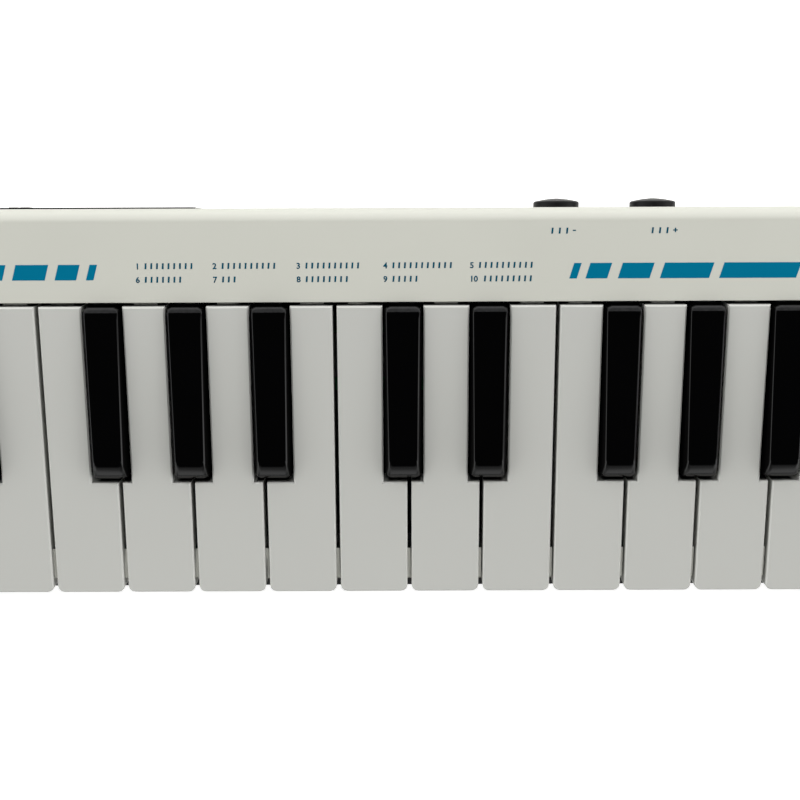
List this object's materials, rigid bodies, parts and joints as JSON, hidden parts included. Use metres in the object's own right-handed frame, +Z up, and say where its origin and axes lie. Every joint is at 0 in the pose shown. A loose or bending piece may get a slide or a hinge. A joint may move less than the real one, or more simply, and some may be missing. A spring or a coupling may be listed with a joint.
{
  "type": "electronic melodica",
  "caption": "Electronic wind keyboard with short hinged piano keys, a mouthpiece at one end, a control panel and push buttons in the rear face.",
  "frame": {"origin": "middle of the keyboard, on the plane the instrument rests on, halfway between the front rail and the upper rear edge", "axes": "+X along the keyboard to the treble end, +Y to the rear face, +Z up"},
  "size_m": [0.53, 0.1069, 0.0375],
  "materials": {
    "case_plastic": "fine satin, light warm grey",
    "white_key_plastic": "satin, off-white",
    "black_key_plastic": "polished black",
    "chassis_plastic": "black, as moulded",
    "felt": "pressed black felt",
    "circuit_board": "green solder mask",
    "grey_rubber": "matt",
    "steel": "bright",
    "glossy_black_plastic": "polished black",
    "satin_black_plastic": "satin black",
    "battery_wrap": "shrink wrap",
    "webbing": "woven black webbing",
    "silicone": "milky silicone"
  },
  "bodies": {
    "case": {"upper_case": "case_plastic", "lower_case": "case_plastic", "key_chassis": "chassis_plastic", "key_pivot_rod": "steel", "key_rest_felt": "felt", "contact_board": "circuit_board", "contact_strip": "grey_rubber", "main_board": "circuit_board", "breath_sensor": "circuit_board", "breath_hose": "silicone", "speaker": "satin_black_plastic", "battery_pack": "battery_wrap", "inlet_socket": "glossy_black_plastic", "rear_plate": "glossy_black_plastic", "usb_port": "steel", "headphone_jack": "satin_black_plastic", "hand_strap": "webbing"},
    "mouthpiece": {"mouthpiece": "glossy_black_plastic"},
    "octave_down_button": {"octave_down_button": "satin_black_plastic"},
    "octave_up_button": {"octave_up_button": "satin_black_plastic"},
    "tone_button": {"tone_button": "satin_black_plastic"},
    "power_slider": {"power_slider": "satin_black_plastic"},
    "volume_wheel": {"volume_wheel": "satin_black_plastic"},
    "white_key_01": {"white_key_01": "white_key_plastic"},
    "black_key_01": {"black_key_01": "black_key_plastic"},
    "white_key_02": {"white_key_02": "white_key_plastic"},
    "black_key_02": {"black_key_02": "black_key_plastic"},
    "white_key_03": {"white_key_03": "white_key_plastic"},
    "black_key_03": {"black_key_03": "black_key_plastic"},
    "white_key_04": {"white_key_04": "white_key_plastic"},
    "white_key_05": {"white_key_05": "white_key_plastic"},
    "black_key_04": {"black_key_04": "black_key_plastic"},
    "white_key_06": {"white_key_06": "white_key_plastic"},
    "black_key_05": {"black_key_05": "black_key_plastic"},
    "white_key_07": {"white_key_07": "white_key_plastic"},
    "white_key_08": {"white_key_08": "white_key_plastic"},
    "black_key_06": {"black_key_06": "black_key_plastic"},
    "white_key_09": {"white_key_09": "white_key_plastic"},
    "black_key_07": {"black_key_07": "black_key_plastic"},
    "white_key_10": {"white_key_10": "white_key_plastic"},
    "black_key_08": {"black_key_08": "black_key_plastic"},
    "white_key_11": {"white_key_11": "white_key_plastic"},
    "white_key_12": {"white_key_12": "white_key_plastic"},
    "black_key_09": {"black_key_09": "black_key_plastic"},
    "white_key_13": {"white_key_13": "white_key_plastic"},
    "black_key_10": {"black_key_10": "black_key_plastic"},
    "white_key_14": {"white_key_14": "white_key_plastic"},
    "white_key_15": {"white_key_15": "white_key_plastic"},
    "black_key_11": {"black_key_11": "black_key_plastic"},
    "white_key_16": {"white_key_16": "white_key_plastic"},
    "black_key_12": {"black_key_12": "black_key_plastic"},
    "white_key_17": {"white_key_17": "white_key_plastic"},
    "black_key_13": {"black_key_13": "black_key_plastic"},
    "white_key_18": {"white_key_18": "white_key_plastic"},
    "white_key_19": {"white_key_19": "white_key_plastic"},
    "black_key_14": {"black_key_14": "black_key_plastic"},
    "white_key_20": {"white_key_20": "white_key_plastic"},
    "black_key_15": {"black_key_15": "black_key_plastic"},
    "white_key_21": {"white_key_21": "white_key_plastic"},
    "white_key_22": {"white_key_22": "white_key_plastic"}
  },
  "joints": [
    {"name": "mouthpiece_slide", "type": "slide", "parent": "case", "child": "mouthpiece", "axis": [-1, 0, 0], "range_m": [0, 0.014]},
    {"name": "octave_down_press", "type": "slide", "parent": "case", "child": "octave_down_button", "axis": [0, -0.9925, 0.1219], "range_m": [0, 0.0008], "stiffness_N_per_m": 1500, "springref_m": -0.0006},
    {"name": "octave_up_press", "type": "slide", "parent": "case", "child": "octave_up_button", "axis": [0, -0.9925, 0.1219], "range_m": [0, 0.0008], "stiffness_N_per_m": 1500, "springref_m": -0.0006},
    {"name": "tone_press", "type": "slide", "parent": "case", "child": "tone_button", "axis": [0, -0.9925, 0.1219], "range_m": [0, 0.0008], "stiffness_N_per_m": 1500, "springref_m": -0.0006},
    {"name": "power_slide", "type": "slide", "parent": "case", "child": "power_slider", "axis": [1, 0, 0], "range_m": [0, 0.004]},
    {"name": "volume_turn", "type": "hinge", "parent": "case", "child": "volume_wheel", "pos_m": [-0.112, 0.04699, 0.02034], "axis": [0, 0.1219, 0.9925], "range_deg": [-130, 130]},
    {"name": "white_key_01_hinge", "type": "hinge", "parent": "case", "child": "white_key_01", "pos_m": [-0.203, 0.03795, 0.026], "axis": [1, 0, 0], "range_deg": [0, 2.75], "stiffness_Nm_per_rad": 0.5, "springref_deg": -2.86, "deforming": ["contact_strip"]},
    {"name": "black_key_01_hinge", "type": "hinge", "parent": "case", "child": "black_key_01", "pos_m": [-0.1923, 0.03795, 0.026], "axis": [1, 0, 0], "range_deg": [0, 3.3], "stiffness_Nm_per_rad": 0.5, "springref_deg": -2.86, "deforming": ["contact_strip"]},
    {"name": "white_key_02_hinge", "type": "hinge", "parent": "case", "child": "white_key_02", "pos_m": [-0.18165, 0.03795, 0.026], "axis": [1, 0, 0], "range_deg": [0, 2.75], "stiffness_Nm_per_rad": 0.5, "springref_deg": -2.86, "deforming": ["contact_strip"]},
    {"name": "black_key_02_hinge", "type": "hinge", "parent": "case", "child": "black_key_02", "pos_m": [-0.171, 0.03795, 0.026], "axis": [1, 0, 0], "range_deg": [0, 3.3], "stiffness_Nm_per_rad": 0.5, "springref_deg": -2.86, "deforming": ["contact_strip"]},
    {"name": "white_key_03_hinge", "type": "hinge", "parent": "case", "child": "white_key_03", "pos_m": [-0.16032, 0.03795, 0.026], "axis": [1, 0, 0], "range_deg": [0, 2.75], "stiffness_Nm_per_rad": 0.5, "springref_deg": -2.86, "deforming": ["contact_strip"]},
    {"name": "black_key_03_hinge", "type": "hinge", "parent": "case", "child": "black_key_03", "pos_m": [-0.14965, 0.03795, 0.026], "axis": [1, 0, 0], "range_deg": [0, 3.3], "stiffness_Nm_per_rad": 0.5, "springref_deg": -2.86, "deforming": ["contact_strip"]},
    {"name": "white_key_04_hinge", "type": "hinge", "parent": "case", "child": "white_key_04", "pos_m": [-0.13897, 0.03795, 0.026], "axis": [1, 0, 0], "range_deg": [0, 2.75], "stiffness_Nm_per_rad": 0.5, "springref_deg": -2.86, "deforming": ["contact_strip"]},
    {"name": "white_key_05_hinge", "type": "hinge", "parent": "case", "child": "white_key_05", "pos_m": [-0.12662, 0.03795, 0.026], "axis": [1, 0, 0], "range_deg": [0, 2.75], "stiffness_Nm_per_rad": 0.5, "springref_deg": -2.86, "deforming": ["contact_strip"]},
    {"name": "black_key_04_hinge", "type": "hinge", "parent": "case", "child": "black_key_04", "pos_m": [-0.11555, 0.03795, 0.026], "axis": [1, 0, 0], "range_deg": [0, 3.3], "stiffness_Nm_per_rad": 0.5, "springref_deg": -2.86, "deforming": ["contact_strip"]},
    {"name": "white_key_06_hinge", "type": "hinge", "parent": "case", "child": "white_key_06", "pos_m": [-0.10447, 0.03795, 0.026], "axis": [1, 0, 0], "range_deg": [0, 2.75], "stiffness_Nm_per_rad": 0.5, "springref_deg": -2.86, "deforming": ["contact_strip"]},
    {"name": "black_key_05_hinge", "type": "hinge", "parent": "case", "child": "black_key_05", "pos_m": [-0.0934, 0.03795, 0.026], "axis": [1, 0, 0], "range_deg": [0, 3.3], "stiffness_Nm_per_rad": 0.5, "springref_deg": -2.86, "deforming": ["contact_strip"]},
    {"name": "white_key_07_hinge", "type": "hinge", "parent": "case", "child": "white_key_07", "pos_m": [-0.08235, 0.03795, 0.026], "axis": [1, 0, 0], "range_deg": [0, 2.75], "stiffness_Nm_per_rad": 0.5, "springref_deg": -2.86, "deforming": ["contact_strip"]},
    {"name": "white_key_08_hinge", "type": "hinge", "parent": "case", "child": "white_key_08", "pos_m": [-0.07, 0.03795, 0.026], "axis": [1, 0, 0], "range_deg": [0, 2.75], "stiffness_Nm_per_rad": 0.5, "springref_deg": -2.86, "deforming": ["contact_strip"]},
    {"name": "black_key_06_hinge", "type": "hinge", "parent": "case", "child": "black_key_06", "pos_m": [-0.0593, 0.03795, 0.026], "axis": [1, 0, 0], "range_deg": [0, 3.3], "stiffness_Nm_per_rad": 0.5, "springref_deg": -2.86, "deforming": ["contact_strip"]},
    {"name": "white_key_09_hinge", "type": "hinge", "parent": "case", "child": "white_key_09", "pos_m": [-0.04865, 0.03795, 0.026], "axis": [1, 0, 0], "range_deg": [0, 2.75], "stiffness_Nm_per_rad": 0.5, "springref_deg": -2.86, "deforming": ["contact_strip"]},
    {"name": "black_key_07_hinge", "type": "hinge", "parent": "case", "child": "black_key_07", "pos_m": [-0.038, 0.03795, 0.026], "axis": [1, 0, 0], "range_deg": [0, 3.3], "stiffness_Nm_per_rad": 0.5, "springref_deg": -2.86, "deforming": ["contact_strip"]},
    {"name": "white_key_10_hinge", "type": "hinge", "parent": "case", "child": "white_key_10", "pos_m": [-0.02732, 0.03795, 0.026], "axis": [1, 0, 0], "range_deg": [0, 2.75], "stiffness_Nm_per_rad": 0.5, "springref_deg": -2.86, "deforming": ["contact_strip"]},
    {"name": "black_key_08_hinge", "type": "hinge", "parent": "case", "child": "black_key_08", "pos_m": [-0.01665, 0.03795, 0.026], "axis": [1, 0, 0], "range_deg": [0, 3.3], "stiffness_Nm_per_rad": 0.5, "springref_deg": -2.86, "deforming": ["contact_strip"]},
    {"name": "white_key_11_hinge", "type": "hinge", "parent": "case", "child": "white_key_11", "pos_m": [-0.00598, 0.03795, 0.026], "axis": [1, 0, 0], "range_deg": [0, 2.75], "stiffness_Nm_per_rad": 0.5, "springref_deg": -2.86, "deforming": ["contact_strip"]},
    {"name": "white_key_12_hinge", "type": "hinge", "parent": "case", "child": "white_key_12", "pos_m": [0.00637, 0.03795, 0.026], "axis": [1, 0, 0], "range_deg": [0, 2.75], "stiffness_Nm_per_rad": 0.5, "springref_deg": -2.86, "deforming": ["contact_strip"]},
    {"name": "black_key_09_hinge", "type": "hinge", "parent": "case", "child": "black_key_09", "pos_m": [0.01745, 0.03795, 0.026], "axis": [1, 0, 0], "range_deg": [0, 3.3], "stiffness_Nm_per_rad": 0.5, "springref_deg": -2.86, "deforming": ["contact_strip"]},
    {"name": "white_key_13_hinge", "type": "hinge", "parent": "case", "child": "white_key_13", "pos_m": [0.02852, 0.03795, 0.026], "axis": [1, 0, 0], "range_deg": [0, 2.75], "stiffness_Nm_per_rad": 0.5, "springref_deg": -2.86, "deforming": ["contact_strip"]},
    {"name": "black_key_10_hinge", "type": "hinge", "parent": "case", "child": "black_key_10", "pos_m": [0.0396, 0.03795, 0.026], "axis": [1, 0, 0], "range_deg": [0, 3.3], "stiffness_Nm_per_rad": 0.5, "springref_deg": -2.86, "deforming": ["contact_strip"]},
    {"name": "white_key_14_hinge", "type": "hinge", "parent": "case", "child": "white_key_14", "pos_m": [0.05065, 0.03795, 0.026], "axis": [1, 0, 0], "range_deg": [0, 2.75], "stiffness_Nm_per_rad": 0.5, "springref_deg": -2.86, "deforming": ["contact_strip"]},
    {"name": "white_key_15_hinge", "type": "hinge", "parent": "case", "child": "white_key_15", "pos_m": [0.063, 0.03795, 0.026], "axis": [1, 0, 0], "range_deg": [0, 2.75], "stiffness_Nm_per_rad": 0.5, "springref_deg": -2.86, "deforming": ["contact_strip"]},
    {"name": "black_key_11_hinge", "type": "hinge", "parent": "case", "child": "black_key_11", "pos_m": [0.0737, 0.03795, 0.026], "axis": [1, 0, 0], "range_deg": [0, 3.3], "stiffness_Nm_per_rad": 0.5, "springref_deg": -2.86, "deforming": ["contact_strip"]},
    {"name": "white_key_16_hinge", "type": "hinge", "parent": "case", "child": "white_key_16", "pos_m": [0.08435, 0.03795, 0.026], "axis": [1, 0, 0], "range_deg": [0, 2.75], "stiffness_Nm_per_rad": 0.5, "springref_deg": -2.86, "deforming": ["contact_strip"]},
    {"name": "black_key_12_hinge", "type": "hinge", "parent": "case", "child": "black_key_12", "pos_m": [0.095, 0.03795, 0.026], "axis": [1, 0, 0], "range_deg": [0, 3.3], "stiffness_Nm_per_rad": 0.5, "springref_deg": -2.86, "deforming": ["contact_strip"]},
    {"name": "white_key_17_hinge", "type": "hinge", "parent": "case", "child": "white_key_17", "pos_m": [0.10568, 0.03795, 0.026], "axis": [1, 0, 0], "range_deg": [0, 2.75], "stiffness_Nm_per_rad": 0.5, "springref_deg": -2.86, "deforming": ["contact_strip"]},
    {"name": "black_key_13_hinge", "type": "hinge", "parent": "case", "child": "black_key_13", "pos_m": [0.11635, 0.03795, 0.026], "axis": [1, 0, 0], "range_deg": [0, 3.3], "stiffness_Nm_per_rad": 0.5, "springref_deg": -2.86, "deforming": ["contact_strip"]},
    {"name": "white_key_18_hinge", "type": "hinge", "parent": "case", "child": "white_key_18", "pos_m": [0.12702, 0.03795, 0.026], "axis": [1, 0, 0], "range_deg": [0, 2.75], "stiffness_Nm_per_rad": 0.5, "springref_deg": -2.86, "deforming": ["contact_strip"]},
    {"name": "white_key_19_hinge", "type": "hinge", "parent": "case", "child": "white_key_19", "pos_m": [0.13937, 0.03795, 0.026], "axis": [1, 0, 0], "range_deg": [0, 2.75], "stiffness_Nm_per_rad": 0.5, "springref_deg": -2.86, "deforming": ["contact_strip"]},
    {"name": "black_key_14_hinge", "type": "hinge", "parent": "case", "child": "black_key_14", "pos_m": [0.15045, 0.03795, 0.026], "axis": [1, 0, 0], "range_deg": [0, 3.3], "stiffness_Nm_per_rad": 0.5, "springref_deg": -2.86, "deforming": ["contact_strip"]},
    {"name": "white_key_20_hinge", "type": "hinge", "parent": "case", "child": "white_key_20", "pos_m": [0.16153, 0.03795, 0.026], "axis": [1, 0, 0], "range_deg": [0, 2.75], "stiffness_Nm_per_rad": 0.5, "springref_deg": -2.86, "deforming": ["contact_strip"]},
    {"name": "black_key_15_hinge", "type": "hinge", "parent": "case", "child": "black_key_15", "pos_m": [0.1726, 0.03795, 0.026], "axis": [1, 0, 0], "range_deg": [0, 3.3], "stiffness_Nm_per_rad": 0.5, "springref_deg": -2.86, "deforming": ["contact_strip"]},
    {"name": "white_key_21_hinge", "type": "hinge", "parent": "case", "child": "white_key_21", "pos_m": [0.18365, 0.03795, 0.026], "axis": [1, 0, 0], "range_deg": [0, 2.75], "stiffness_Nm_per_rad": 0.5, "springref_deg": -2.86, "deforming": ["contact_strip"]},
    {"name": "white_key_22_hinge", "type": "hinge", "parent": "case", "child": "white_key_22", "pos_m": [0.1995, 0.03795, 0.026], "axis": [1, 0, 0], "range_deg": [0, 2.75], "stiffness_Nm_per_rad": 0.5, "springref_deg": -2.86, "deforming": ["contact_strip"]}
  ]
}
